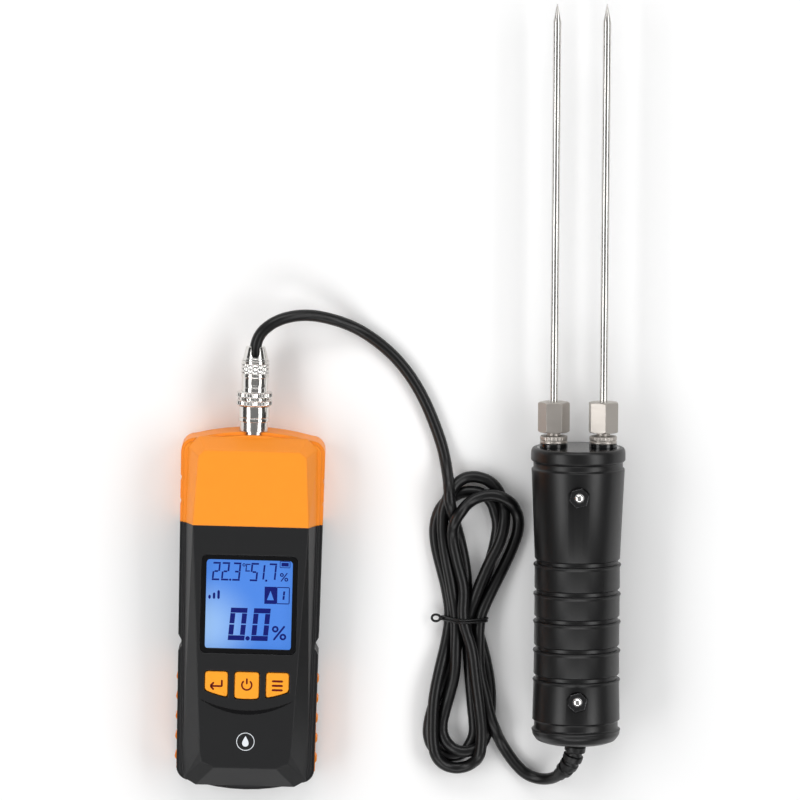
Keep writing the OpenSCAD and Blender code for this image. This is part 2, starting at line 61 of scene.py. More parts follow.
CAMERA_TILT = math.radians(6.5)
CAMERA_ROLL = math.radians(0.35)
CAMERA_DISTANCE = 3.0
VIEW_WIDTH = 0.3576
look_at = mm(-0.35, -2.7, 0)
camera_data = bpy.data.cameras.new("camera")
camera = bpy.data.objects.new("camera", camera_data)
bpy.context.scene.collection.objects.link(camera)
back = Vector((0, math.sin(CAMERA_TILT), math.cos(CAMERA_TILT)))
up = Vector((0, math.cos(CAMERA_TILT), -math.sin(CAMERA_TILT)))
turn = Matrix((Vector((1, 0, 0)), up, back)).transposed().to_4x4()
camera.matrix_world = (
    Matrix.Translation(look_at + back * CAMERA_DISTANCE) @ turn @ Matrix.Rotation(CAMERA_ROLL, 4, "Z")
)
camera_data.sensor_width = 36
camera_data.lens = 36 * CAMERA_DISTANCE / VIEW_WIDTH
camera_data.clip_start = 0.05
camera_data.clip_end = 20
bpy.context.scene.camera = camera

# ---------- materials ----------


def material(name, colour, rough, metal=0.0, vary=0.0, grain=0.0, size=900.0, stretch=(1, 1, 1),
             edge=0.0, coat=0.0, rough_vary=0.08, fleck=None, gloss=0.5):
    """Principled material with fine surface grain, slow colour change and softened edges."""
    m = bpy.data.materials.new(name)
    m.use_nodes = True
    tree = m.node_tree
    n, link = tree.nodes, tree.links.new
    shader = n["Principled BSDF"]
    shader.inputs["Base Color"].default_value = (*colour, 1)
    shader.inputs["Metallic"].default_value = metal
    shader.inputs["Roughness"].default_value = rough
    shader.inputs["Coat Weight"].default_value = coat
    shader.inputs["Coat Roughness"].default_value = 0.12
    shader.inputs["Specular IOR Level"].default_value = gloss
    where = n.new("ShaderNodeTexCoord")
    place = n.new("ShaderNodeMapping")
    place.inputs["Scale"].default_value = stretch
    link(where.outputs["Object"], place.inputs["Vector"])
    fine = n.new("ShaderNodeTexNoise")
    fine.inputs["Scale"].default_value = size
    fine.inputs["Detail"].default_value = 4
    link(place.outputs["Vector"], fine.inputs["Vector"])
    slow = n.new("ShaderNodeTexNoise")
    slow.inputs["Scale"].default_value = size / 14
    slow.inputs["Detail"].default_value = 3
    link(place.outputs["Vector"], slow.inputs["Vector"])
    if vary:
        mix = n.new("ShaderNodeMix")
        mix.data_type = "RGBA"
        mix.inputs[6].default_value = (*[c * (1 - vary) for c in colour], 1)
        mix.inputs[7].default_value = (*[min(1, c * (1 + vary)) for c in (fleck or colour)], 1)
        link(slow.outputs["Fac"], mix.inputs[0])
        link(mix.outputs[2], shader.inputs["Base Color"])
    if rough_vary:
        span = n.new("ShaderNodeMapRange")
        span.inputs["To Min"].default_value = max(0.02, rough - rough_vary)
        span.inputs["To Max"].default_value = min(1, rough + rough_vary)
        link(fine.outputs["Fac"], span.inputs["Value"])
        link(span.outputs["Result"], shader.inputs["Roughness"])
    normal = None
    if edge:
        soft = n.new("ShaderNodeBevel")
        soft.samples = 6
        soft.inputs["Radius"].default_value = edge * MM
        normal = soft.outputs["Normal"]
    if grain:
        bump = n.new("ShaderNodeBump")
        bump.inputs["Strength"].default_value = 1
        bump.inputs["Distance"].default_value = grain * MM
        link(fine.outputs["Fac"], bump.inputs["Height"])
        if normal is not None:
            link(normal, bump.inputs["Normal"])
        normal = bump.outputs["Normal"]
    if normal is not None:
        link(normal, shader.inputs["Normal"])
    return m


case_black = material("case_black", (0.0085, 0.0087, 0.0095), 0.4, vary=0.1, grain=0.012, size=2400, edge=0.7,
                      gloss=0.42)
back_black = material("back_black", (0.01, 0.0102, 0.011), 0.55, vary=0.12, grain=0.02, size=1600, edge=0.5)
# Darker gloss black for the crescent under the keys, and for the thin ring round the display window, where it is
# painted shade of the window's recess
trim_black_and_shade = material("trim_black_and_shade", (0.003, 0.003, 0.0035), 0.22, vary=0.1, edge=0.2, gloss=0.3)
cap_orange = material("cap_orange", (1.0, 0.3, 0.016), 0.46, vary=0.03, grain=0.012, size=2200, edge=1.2, gloss=0.35)
grip_orange = material("grip_orange", (0.95, 0.27, 0.016), 0.6, vary=0.06, grain=0.02, size=1800, edge=0.3,
                       gloss=0.3)
key_orange = material("key_orange", (1.0, 0.36, 0.016), 0.5, vary=0.03, grain=0.008, size=1800, gloss=0.35)
key_print = material("key_print", (0.13, 0.006, 0.002), 0.55, vary=0.08, gloss=0.2)
cord_black = material("cord_black", (0.0035, 0.0035, 0.0038), 0.36, vary=0.12, grain=0.02, size=1100, gloss=0.36)
boot_black = material("boot_black", (0.0045, 0.0045, 0.0048), 0.42, vary=0.1, grain=0.02, size=1300, gloss=0.4)
grip_black = material("grip_black", (0.0042, 0.0042, 0.0045), 0.36, vary=0.12, grain=0.004, size=500, edge=0.3,
                      rough_vary=0.03, gloss=0.42)
face_black = material("face_black", (0.005, 0.005, 0.0055), 0.2, vary=0.1, grain=0.004, size=900, coat=0.2,
                      edge=0.4, rough_vary=0.03)
nickel = material("nickel", (0.76, 0.745, 0.72), 0.13, 1, vary=0.04, size=700, edge=0.12, rough_vary=0.05)
nickel_turned = material("nickel_turned", (0.72, 0.705, 0.68), 0.2, 1, vary=0.06, grain=0.006, size=160,
                         stretch=(1, 9, 1), edge=0.1, rough_vary=0.08)
nut_steel = material("nut_steel", (0.5, 0.465, 0.43), 0.46, 1, vary=0.08, grain=0.008, size=170,
                     stretch=(1, 8, 1), edge=0.3, rough_vary=0.1)
needle_steel = material("needle_steel", (0.66, 0.645, 0.62), 0.2, 1, vary=0.07, grain=0.006, size=900,
                        stretch=(1, 0.03, 1), rough_vary=0.09)
stud_steel = material("stud_steel", (0.86, 0.85, 0.84), 0.18, 1, vary=0.05, grain=0.006, size=800, edge=0.2)
nut_black = material("nut_black", (0.09, 0.09, 0.093), 0.2, 1, vary=0.1, grain=0.006, size=900, edge=0.5)
contact_gold = material("contact_gold", (0.8, 0.55, 0.2), 0.2, 1, vary=0.05, size=900)
contact_nickel = material("contact_nickel", (0.6, 0.59, 0.56), 0.3, 1, vary=0.06, grain=0.01, size=700)
insulator = material("insulator", (0.6, 0.55, 0.45), 0.5, vary=0.06, grain=0.01, size=900)
board_green = material("board_green", (0.01, 0.11, 0.035), 0.3, vary=0.25, grain=0.01, size=300, coat=0.3)
part_black = material("part_black", (0.015, 0.015, 0.016), 0.5, vary=0.15, grain=0.02, size=1500)
mat_grey = material("mat_grey", (0.4, 0.4, 0.39), 0.6, vary=0.06, grain=0.01, size=1200)
holder_grey = material("holder_grey", (0.03, 0.03, 0.032), 0.6, vary=0.08, grain=0.01, size=1200)
diffuser = material("diffuser", (0.75, 0.78, 0.82), 0.5, vary=0.03, grain=0.005, size=1200)
cell_jacket = material("cell_jacket", (0.04, 0.05, 0.08), 0.3, vary=0.3, size=240, coat=0.4, fleck=(0.3, 0.2, 0.03))
wire_red = material("wire_red", (0.35, 0.02, 0.02), 0.4, vary=0.08, grain=0.01, size=900)
ink = material("ink", (0.002, 0.003, 0.03), 0.6, vary=0.1, gloss=0.05)
ink_shader = ink.node_tree.nodes["Principled BSDF"]
ink_shader.inputs["Emission Color"].default_value = (0.006, 0.01, 0.16, 1)
ink_shader.inputs["Emission Strength"].default_value = 1.0


def lit_glass():
    """Display face: even blue light with a paler glow towards the lower left."""
    m = material("lit_glass", (0.02, 0.05, 0.15), 0.3)
    n, link = m.node_tree.nodes, m.node_tree.links.new
    shader = n["Principled BSDF"]
    where = n.new("ShaderNodeTexCoord")
    far = n.new("ShaderNodeVectorMath")
    far.operation = "DISTANCE"
    far.inputs[1].default_value = mm(-86, -101, 27)
    link(where.outputs["Object"], far.inputs[0])
    fade = n.new("ShaderNodeMapRange")
    fade.interpolation_type = "SMOOTHSTEP"
    fade.inputs["From Min"].default_value = 0.001
    fade.inputs["From Max"].default_value = 0.026
    link(far.outputs["Value"], fade.inputs["Value"])
    mix = n.new("ShaderNodeMix")
    mix.data_type = "RGBA"
    mix.inputs[6].default_value = (0.36, 0.6, 0.98, 1)
    mix.inputs[7].default_value = (0.075, 0.26, 0.84, 1)
    link(fade.outputs["Result"], mix.inputs[0])
    link(mix.outputs[2], shader.inputs["Emission Color"])
    shader.inputs["Emission Strength"].default_value = 0.92
    return m


def clear_plastic():
    """Thin, nearly invisible window with slightly uneven gloss."""
    m = bpy.data.materials.new("window_clear")
    m.use_nodes = True
    n, link = m.node_tree.nodes, m.node_tree.links.new
    shader = n["Principled BSDF"]
    shader.inputs["Base Color"].default_value = (0.02, 0.03, 0.05, 1)
    shader.inputs["Roughness"].default_value = 0.04
    shader.inputs["Alpha"].default_value = 0.06
    shader.inputs["IOR"].default_value = 1.3
    noise = n.new("ShaderNodeTexNoise")
    noise.inputs["Scale"].default_value = 300
    span = n.new("ShaderNodeMapRange")
    span.inputs["To Min"].default_value = 0.03
    span.inputs["To Max"].default_value = 0.09
    link(noise.outputs["Fac"], span.inputs["Value"])
    link(span.outputs["Result"], shader.inputs["Roughness"])
    return m


lcd_lit = lit_glass()
window_clear = clear_plastic()

# ---------- mesh helpers ----------


def new_object(name, data, mat):
    """Object linked to the scene, with one material."""
    obj = bpy.data.objects.new(name, data)
    bpy.context.scene.collection.objects.link(obj)
    data.materials.append(mat)
    return obj


def mesh(name, points, faces, mat, angle=35):
    """Mesh object from points in millimetres, smooth except at edges sharper than the angle."""
    data = bpy.data.meshes.new(name)
    data.from_pydata([Vector(p) * MM for p in points], [], faces)
    work = bmesh.new()
    work.from_mesh(data)
    bmesh.ops.remove_doubles(work, verts=work.verts, dist=1e-7)
    bmesh.ops.recalc_face_normals(work, faces=work.faces)
    work.to_mesh(data)
    work.free()
    data.shade_smooth()
    data.set_sharp_from_angle(angle=math.radians(angle))
    return new_object(name, data, mat)


def rounded(profile, r, closed=False, steps=3):
    """Profile with every corner rounded by up to r."""
    out, count = [], len(profile)
    for i, p in enumerate(profile):
        if not closed and i in (0, count - 1):
            out.append(tuple(p))
            continue
        p = Vector(p)
        a, b = Vector(profile[i - 1]), Vector(profile[(i + 1) % count])
        if (a - p).length < 1e-6 or (b - p).length < 1e-6:
            continue
        if (a - p).angle(b - p) > math.radians(172):
            out.append(tuple(p))
            continue
        near = min(r, (a - p).length * 0.45, (b - p).length * 0.45)
        p0, p1 = p + (a - p).normalized() * near, p + (b - p).normalized() * near
        for k in range(steps + 1):
            t = k / steps
            out.append(tuple(p0 * (1 - t) ** 2 + p * 2 * t * (1 - t) + p1 * t * t))
    return out


def lathe(name, profile, x, z, mat, closed=False, segs=96, knurl=None, angle=35):
    """Turned shape about a line along Y; profile points are (radius, y). knurl(radius, y, turn) moves a point."""
    points, faces, rows = [], [], len(profile)
    for r, y in profile:
        for a in turns(segs):
            q = knurl(r, y, a) if knurl else r
            points.append((x + q * math.cos(a), y, z + q * math.sin(a)))
    for i in range(rows if closed else rows - 1):
        j = (i + 1) % rows
        for k in range(segs):
            m = (k + 1) % segs
            faces.append((i * segs + k, i * segs + m, j * segs + m, j * segs + k))
    if not closed:
        faces.append(tuple(range(segs)))
        faces.append(tuple((rows - 1) * segs + k for k in range(segs)))
    return mesh(name, points, faces, mat, angle)


def finer(profile, step):
    """Profile with points added, so that no two are further apart than a step."""
    out = []
    for (r0, y0), (r1, y1) in zip(profile, profile[1:]):
        n = max(1, math.ceil(math.hypot(r1 - r0, y1 - y0) / step))
        out += [(r0 + (r1 - r0) * i / n, y0 + (y1 - y0) * i / n) for i in range(n)]
    return out + [profile[-1]]


def slab(name, outlines, z0, z1, mat):
    """Flat plates from outlines in millimetres, all in one mesh."""
    points, faces = [], []
    for line in outlines:
        base, n = len(points), len(line)
        points += [(p[0], p[1], z0) for p in line] + [(p[0], p[1], z1) for p in line]
        faces.append(tuple(base + i for i in reversed(range(n))))
        faces.append(tuple(base + n + i for i in range(n)))
        faces += [(base + i, base + (i + 1) % n, base + n + (i + 1) % n, base + n + i) for i in range(n)]
    return mesh(name, points, faces, mat)


def stroke(a, b, t):
    """Straight stroke of width t with pointed ends, from a to b."""
    a, b = Vector(a), Vector(b)
    d = (b - a).normalized()
    s = Vector((-d.y, d.x)) * t / 2
    e = d * t / 2
    return [a, a + e + s, b - e + s, b, b - e - s, a + e - s]


def arc(cx, cy, r, t, a0, a1, steps=20):
    """Curved stroke of width t and middle radius r, from a0 to a1 degrees."""
    def edge(radius, start, end):
        angles = [math.radians(start + (end - start) * i / steps) for i in range(steps + 1)]
        return [(cx + radius * math.cos(a), cy + radius * math.sin(a)) for a in angles]
    return edge(r + t / 2, a0, a1) + edge(r - t / 2, a1, a0)


def box_line(x0, y0, x1, y1):
    """Outline of a rectangle."""
    return [(x0, y0), (x1, y0), (x1, y1), (x0, y1)]


meter_middle = Matrix.Translation(mm(METER_X, METER_MID_Y, 0))
lean_turn = meter_middle @ Matrix.Rotation(METER_LEAN, 4, "Z") @ meter_middle.inverted()


def finish_piece(obj, body, slot, *replaced):
    """Attaches the piece to its body and hides the CAD nodes that it replaces; pieces of the meter and its plug take
    the meter's lean.
    """
    if body not in ("probe", "left_nut", "right_nut") or slot == "plug_nickel":
        obj.data.transform(lean_turn)
    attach(obj, body)
    if replaced:
        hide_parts(*replaced)
    return obj


# ---------- the lead ----------

CORD_D = 5.2
CORD_STEP = 2.6
lead_route = [
    (-64.6, 18, 16), (-64.5, 23, 16), (-62.2, 28.6, 16), (-57, 33, 15.5), (-50, 35.6, 13.8), (-41.4, 36.2, 11),
    (-31.3, 34.3, 8), (-20.5, 30, 5), (-9.7, 23, 3.4), (-1.5, 15.5, 2.7), (5.3, 6.7, 2.7), (10.7, -2.8, 2.7),
    (15.6, -14.3, 2.7), (19, -24.6, 3.6), (21, -34.5, 7.5), (21.8, -41, 11.5), (22, -47, 13.6)
]
tail_route = [
    (38.4, -134, 8.2), (41, -145, 5.6), (45, -155, 3.2), (50.5, -164, 2.7), (57, -171, 2.8), (63, -173, 5),
    (69, -172, 9.5), (73, -168.5, 14)
]


def foot(x, y, r, *heights):
    """Lower end of a turn: a half circle run from left to right, at the given heights."""
    steps = len(heights) - 1
    return [(x - r * math.cos(math.pi * k / steps), y - r * math.sin(math.pi * k / steps), z)
            for k, z in enumerate(heights)]


# The turns of the hank, in the order in which the lead runs through them
inner_run = [(24, -55, 11), (26.5, -64, 5), (29, -76, 3.5), (30, -88, 3.5), (28, -100, 3.9)]
loop_back = ([(26, -112, 3.2), (20.5, -128, 2.7), (15, -142, 2.7)]
             + foot(23.6, -153, 10.4, 2.7, 2.7, 2.7, 2.7, 2.7, 2.7)
             + [(33.2, -142, 2.9), (31.9, -128, 3.4), (30.8, -112, 6.5), (30.7, -100, 8.5)])
loop_high = [(33, -93, 8.5), (36, -84.5, 7.6), (40.2, -74.5, 6), (44.8, -65, 5.4), (46.5, -57, 6),
             (46.2, -49.5, 6.8), (43, -41.5, 4.6), (38.6, -38, 3.4), (33, -36.6, 2.9), (28.6, -37.2, 4.2),
             (24.4, -40.5, 7.4), (20.9, -47, 8.3), (19, -55, 8.2), (19, -62, 6.8), (20.3, -71, 6.6), (22.3, -81, 7.4), (25.3, -100, 8.5)]
loop_inner = ([(25.2, -114, 8.4), (24.6, -126, 7), (21.6, -139, 6.4)]
              + foot(29.6, -150.4, 10.4, 6.8, 7.4, 7.6, 7.4, 6.6, 5)
              + [(41, -140, 3), (40.6, -130, 2.7), (38.8, -120, 2.7), (36.2, -110, 3.2), (33.4, -100, 3.9)])
loop_left = [(35.5, -90, 3.4), (39.5, -78, 2.7), (42.8, -66, 2.7), (43.8, -56, 2.7), (41.6, -48.6, 2.7),
             (36.7, -44.2, 2.7), (31.8, -43.2, 2.7), (26.4, -44.2, 2.7), (21.4, -47, 2.7), (17.8, -51.6, 2.7),
             (15.7, -58, 2.7), (15.9, -65.5, 2.7), (18.2, -75.7, 2.7), (21.3, -88.5, 3.2), (22.7, -100, 3.9)]
loop_front = ([(21, -112, 5.5), (18, -124.5, 7.4), (15.8, -136, 8), (15.2, -147, 8.4)]
              + foot(26.2, -157.8, 10.6, 8.6, 6.8, 5, 5, 6.6, 9)
              + [(37, -148.5, 12.4), (35.8, -138, 12.2), (34.2, -127, 12.4), (32.6, -114, 13), (28.6, -100, 13.2)])
loop_right = [(28.6, -86, 11.4), (25.2, -73, 9.4), (23.4, -62, 9.6), (24.8, -54, 11), (29.2, -48.6, 10.4),
              (36, -44.9, 8.6), (43, -44.4, 8), (49, -47.8, 4.8), (52.6, -53.6, 2.7), (53, -60, 2.7),
              (50, -69.5, 2.9), (45.2, -80, 5.6), (40.2, -90, 8), (36.1, -100, 8.5)]
exit_run = [(35.6, -112, 8.6), (36.2, -124, 8.6)]
end_run = [(75.6, -165, 17.6), (77.4, -161.6, 19.6)]


def smooth_line(points, step):
    """Points a step apart along a smooth curve through the given ones."""
    pts = [Vector(p) for p in points]
    fine = []
    for i in range(len(pts) - 1):
        p0, p1, p2, p3 = pts[max(i - 1, 0)], pts[i], pts[i + 1], pts[min(i + 2, len(pts) - 1)]
        d1 = max((p1 - p0).length, 1e-6) ** 0.5
        d2 = max((p2 - p1).length, 1e-6) ** 0.5
        d3 = max((p3 - p2).length, 1e-6) ** 0.5
        m1 = (p2 - p1) if p0 == p1 else (p1 - p0) / d1 - (p2 - p0) / (d1 + d2) + (p2 - p1) / d2
        m2 = (p2 - p1) if p2 == p3 else (p2 - p1) / d2 - (p3 - p1) / (d2 + d3) + (p3 - p2) / d3
        m1, m2 = (m1 if p0 == p1 else m1 * d2), (m2 if p2 == p3 else m2 * d2)
        for k in range(24):
            t = k / 24
            fine.append(p1 * (2 * t**3 - 3 * t**2 + 1) + m1 * (t**3 - 2 * t**2 + t)
                        + p2 * (3 * t**2 - 2 * t**3) + m2 * (t**3 - t**2))
    fine.append(pts[-1])
    run = [0.0]
    for a, b in zip(fine, fine[1:]):
        run.append(run[-1] + (b - a).length)
    count = max(2, round(run[-1] / step))
    out, k = [], 0
    for i in range(count + 1):
        want = run[-1] * i / count
        while k < len(run) - 2 and run[k + 1] < want:
            k += 1
        t = (want - run[k]) / max(run[k + 1] - run[k], 1e-9)
        out.append(fine[k].lerp(fine[k + 1], t))
    return out


def settle(line, d, floor, ends, rounds=220):
    """Moves points of the lead apart where it would lie in itself, keeping it smooth and on the table.

    ends says how many points stay put at the start and at the end.
    """
    # Points fewer than this many steps apart along the lead are never pushed apart
    neighbours = 7
    # In each round: how a push is shared between sideways and up, how much of it is made, how far a point goes
    # towards its neighbours' middle and back to its first place, and how far it sinks
    side_push, share, bent, home, sink = (0.35, 0.35, 1.0), 0.8, (0.05, 0.05, 0.12), (0.07, 0.07, 0.006), 0.02
    p = np.array([tuple(q) for q in line])
    n = len(p)
    rest = p.copy()
    free = np.ones(n, bool)
    free[:ends[0]] = False
    free[n - ends[1]:] = False
    gap = np.abs(np.arange(n)[:, None] - np.arange(n)[None, :])
    pairs = np.argwhere((gap > neighbours) & (np.triu(np.ones((n, n)), 1) > 0))
    i, j = pairs[:, 0], pairs[:, 1]
    near = np.hypot(*(rest[i] - rest[j])[:, :2].T) < 2.2 * d
    i, j = i[near], j[near]
    for _ in range(rounds):
        v = p[i] - p[j]
        dist = np.linalg.norm(v, axis=1)
        hit = dist < d
        push = v[hit] / np.maximum(dist[hit], 1e-6)[:, None] * np.array(side_push)
        amount = (d - dist[hit])[:, None] * 0.5
        move = np.zeros_like(p)
        count = np.zeros(n)
        np.add.at(move, i[hit], push * amount)
        np.add.at(move, j[hit], -push * amount)
        np.add.at(count, i[hit], 1)
        np.add.at(count, j[hit], 1)
        move /= np.maximum(count, 1)[:, None] ** 0.5
        p[free] += move[free] * share
        middle = (p[:-2] + p[2:]) / 2
        p[1:-1][free[1:-1]] += np.array(bent) * (middle - p[1:-1])[free[1:-1]]
        p[free] += (rest - p)[free] * np.array(home)
        p[free, 2] = np.maximum(p[free, 2] - sink, floor)
    return [Vector(q) for q in p]


hank_runs = [inner_run, loop_back, loop_high, loop_inner, loop_left, loop_front, loop_right, exit_run]
whole = lead_route + [q for run in hank_runs for q in run] + tail_route + end_run
cord_line = settle(smooth_line(whole, CORD_STEP), CORD_D, CORD_D / 2 + 0.06, (20, 6))
curve = bpy.data.curves.new("lead", "CURVE")
curve.dimensions = "3D"
curve.bevel_depth = CORD_D / 2 * MM
curve.bevel_resolution = 7
curve.use_fill_caps = True
spline = curve.splines.new("BEZIER")
knots = cord_line[:-1:2]
knots[-1] = cord_line[-1]
spline.bezier_points.add(len(knots) - 1)
for k, q in zip(spline.bezier_points, knots):
    k.co = q * MM
    k.handle_left_type = k.handle_right_type = "AUTO"
spline.resolution_u = 4
lead = new_object("lead", curve, cord_black)
finish_piece(lead, "probe", "cord_black", "cord_lead", "cord_hank", "cord_tail")

# ---------- tie round the waist of the hank ----------


def hull(points):
    """Convex outline of 2-D points, counter-clockwise."""
    pts = sorted(set(points))
    halves = []
    for order in (pts, pts[::-1]):
        side = []
        for q in order:
            while len(side) > 1 and ((side[-1][0] - side[-2][0]) * (q[1] - side[-2][1])
                                     - (side[-1][1] - side[-2][1]) * (q[0] - side[-2][0])) <= 0:
                side.pop()
            side.append(q)
        halves.append(side[:-1])
    return halves[0] + halves[1]


def tie_loop(y):
    """Closed line of wire round every strand that passes the given y."""
    centres = []
    for a, b in zip(cord_line, cord_line[1:]):
        if (a.y - y) * (b.y - y) < 0 and 15 < a.x < 45:
            centres.append(a.lerp(b, (y - a.y) / (b.y - a.y)))
    ring = [(round(c.x + (CORD_D / 2 + 0.5) * math.cos(t), 3), round(c.z + (CORD_D / 2 + 0.5) * math.sin(t), 3))
            for c in centres for t in turns(24)]
    return [Vector((x, y, max(z, 0.6))) for x, z in hull(ring)]


tie_curve = bpy.data.curves.new("wire_tie", "CURVE")
tie_curve.dimensions = "3D"
tie_curve.bevel_depth = 0.55 * MM
tie_curve.bevel_resolution = 4
tie_curve.use_fill_caps = True


def tie_spline(points, closed):
    """One run of the tie's wire."""
    s = tie_curve.splines.new("POLY")
    s.points.add(len(points) - 1)
    for k, q in zip(s.points, points):
        k.co = (*(q * MM), 1)
    s.use_cyclic_u = closed


wrap = tie_loop(-100.0)
tie_spline(wrap, True)
tie_spline(tie_loop(-101.1), True)
left = min(wrap, key=lambda q: q.x + abs(q.z - 7) * 0.2)
for phase in (0, math.pi):
    twist = [(k, phase + k * 0.42) for k in range(16)]
    tie_spline([left + Vector((-0.11 * k, 0.55 * math.cos(t) - 0.4, 0.55 * math.sin(t))) for k, t in twist], False)
eye = left + Vector((-3.2, -0.4, 0.3))
tie_spline([eye + Vector((1.9 * math.cos(t), 1.5 * math.sin(t), 0.25 * math.sin(2 * t))) for t in turns(28)], True)
tie = new_object("wire_tie", tie_curve, cord_black)
finish_piece(tie, "probe", "cord_black", "cord_tie")

# ---------- plug ----------


def cut(obj, *tools):
    """Takes the tools' shapes out of the object, then removes the tools."""
    for tool in tools:
        mod = obj.modifiers.new("cut", "BOOLEAN")
        mod.operation, mod.solver, mod.object = "DIFFERENCE", "EXACT", tool
    graph = bpy.context.evaluated_depsgraph_get()
    data = bpy.data.meshes.new_from_object(obj.evaluated_get(graph))
    obj.modifiers.clear()
    obj.data = data
    data.shade_smooth()
    data.set_sharp_from_angle(angle=math.radians(35))
    for tool in tools:
        bpy.data.objects.remove(tool)
    return obj


def prong(a, n):
    """Height, from 0 to 1, of n pointed teeth round a turn, at angle a."""
    return abs((a * n / (2 * math.pi)) % 1 * 2 - 1)


def diamond(ranges, top, n, lean, depth):
    """Knurl of crossed grooves on the part of a turned shape that reaches radius top within the ranges of y."""
    def shape(r, y, a):
        if r < top - 0.02 or not any(y0 <= y <= y1 for y0, y1 in ranges):
            return r
        return r - depth * (1 - prong(a + y * lean, n)) * 0.5 - depth * (1 - prong(a - y * lean, n)) * 0.5
    return shape


plug_body = lathe("plug_barrel", rounded([
    (3.9, -17.6), (4.5, -17.6), (4.5, -10.7), (6.9, -10.7), (6.9, -9.2), (6.7, -9.1), (6.7, -8.8), (6.9, -8.7),
    (6.9, -3.9), (5.93, -3.9), (5.93, 4.4), (5.8, 4.5), (5.8, 4.9), (5.93, 5), (5.93, 10), (3, 10), (3, -7.5),
    (3.9, -7.5)], 0.18, True), PLUG_X, PLUG_Z, nickel, closed=True, segs=128)
cut(plug_body, slab("tool", [box_line(PLUG_X - 1.6, 5.8, PLUG_X + 2.2, 8.4)], 21.2, 23, nickel))
finish_piece(plug_body, "probe", "plug_nickel", "plug_body")


def ring_shape(r, y, a):
    """Two knurled bands with a row of 14 notches between them."""
    if -0.75 < y < -0.05 and r > 7.2:
        return r - (1.1 if (a * 14 / (2 * math.pi)) % 1 < 0.45 else 0)
    return diamond([(-3.1, -1.3), (0.5, 2.3)], 7.88, 32, 0.0, 0.36)(r, y, a)


ring = lathe("knurled_ring", finer([
    (6.0, -3.6), (7.35, -3.6), (7.6, -3.45), (7.9, -3.15), (7.9, -1.25), (7.6, -1.0), (7.3, -0.9), (7.3, -0.8),
    (7.3, 0.0), (7.3, 0.1), (7.6, 0.2), (7.9, 0.45), (7.9, 2.35), (7.6, 2.65), (7.35, 2.8), (6.0, 2.8)], 0.2),
    PLUG_X, PLUG_Z, nickel, closed=True, segs=352, knurl=ring_shape, angle=50)
finish_piece(ring, "ring", "plug_nickel", "coupling_ring")

nut = lathe("knurled_nut", finer([
    (6.0, 8.9), (6.1, 9.1), (6.2, 9.3), (6.2, 10.1), (5.9, 10.3), (5.9, 10.6), (6.2, 10.8), (6.2, 15.2), (5.95, 15.4),
    (5.95, 15.8), (6.2, 16.0), (6.2, 16.4), (6.0, 16.6), (3.0, 16.6), (3.0, 10.05), (6.0, 10.05)], 0.22),
    PLUG_X, PLUG_Z, nickel, closed=True, segs=300,
    knurl=diamond([(10.9, 15.1)], 6.18, 34, 0.05, 0.3), angle=50)
finish_piece(nut, "probe", "plug_nickel", "plug_nut")

clamp = lathe("cord_clamp", rounded([
    (2.75, 16.65), (5.85, 16.65), (5.7, 17.4), (5.45, 17.6), (5.4, 18.2), (4.3, 22.6), (3.9, 22.9), (2.75, 22.9)],
    0.2, True), PLUG_X, PLUG_Z, nickel, closed=True, segs=96)
SLOT_R, SLOT_Y = 1.9, 19.8
slot_end = [math.pi * (1 + k / 12) for k in range(1, 12)]
arch = ([(PLUG_X - SLOT_R, 24), (PLUG_X - SLOT_R, SLOT_Y)]
        + [(PLUG_X + SLOT_R * math.cos(t), SLOT_Y + SLOT_R * math.sin(t)) for t in slot_end]
        + [(PLUG_X + SLOT_R, SLOT_Y), (PLUG_X + SLOT_R, 24)])
cut(clamp, slab("tool", [arch[::-1]], 18, 24, nickel), slab("tool", [arch[::-1]], 8, 14, nickel))
finish_piece(clamp, "probe", "plug_nickel", "plug_clamp")

# ---------- probe grip ----------


def channel(y, band):
    """Groove and raised lip between two bands of the grip."""
    return [(band, y + 2.7), (band - 0.25, y + 2.3), (18.2, y + 2), (18.2, y + 0.5), (19.35, y + 0.15),
            (19.55, y - 0.25), (19.3, y - 0.8), (band, y - 1.5)]


outer = rounded([(18.42, -20.9), (20.2, -20.9), (20.9, -22.2), (21, -23.5), (21, -26.4), (20.5, -26.9), (19.9, -27.4),
                 (19.9, -29.8), (20.8, -30.4), (20.6, -33)], 0.7)
for y, band in ((-73, 19), (-86.2, 19), (-98.6, 19), (-111.6, 19), (-124.7, 19.1)):
    outer += channel(y, band)
outer += rounded([(19.5, -142.8), (18.7, -143.4), (18.7, -146.6), (19.9, -147.2), (19.6, -148), (19.4, -149.6),
                  (17.6, -152.2), (14, -153.5), (4.6, -153.5)], 0.8)
grip = lathe("grip", outer + [(4.6, -148), (17, -148), (17, -27), (18.42, -27)], GRIP_X, GRIP_Z, grip_black,
             closed=True, segs=160)


def at_stud(i):
    """Place of a grip stud: 0 is the upper one, 1 the lower."""
    y, surface, lean = ((-41.6, 20.1, 12), (-133.3, 19.2, 20))[i]
    return Matrix.Translation(mm(GRIP_X, y, GRIP_Z + surface)) @ Matrix.Rotation(math.radians(-lean), 4, "X")


def drum(i, r, z0, z1, mat, sides=48):
    """Upright cylinder in a stud's own frame."""
    line = [(r * math.cos(t), r * math.sin(t)) for t in turns(sides)]
    obj = slab("drum", [line], z0, z1, mat)
    obj.data.transform(at_stud(i))
    return obj


cut(grip, drum(0, 5, 0, 6, grip_black), drum(1, 5, 0, 6, grip_black), drum(0, 2.2, -8, 3, grip_black),
    drum(1, 2.2, -8, 3, grip_black))
finish_piece(grip, "probe", "grip_black", "grip_shell")

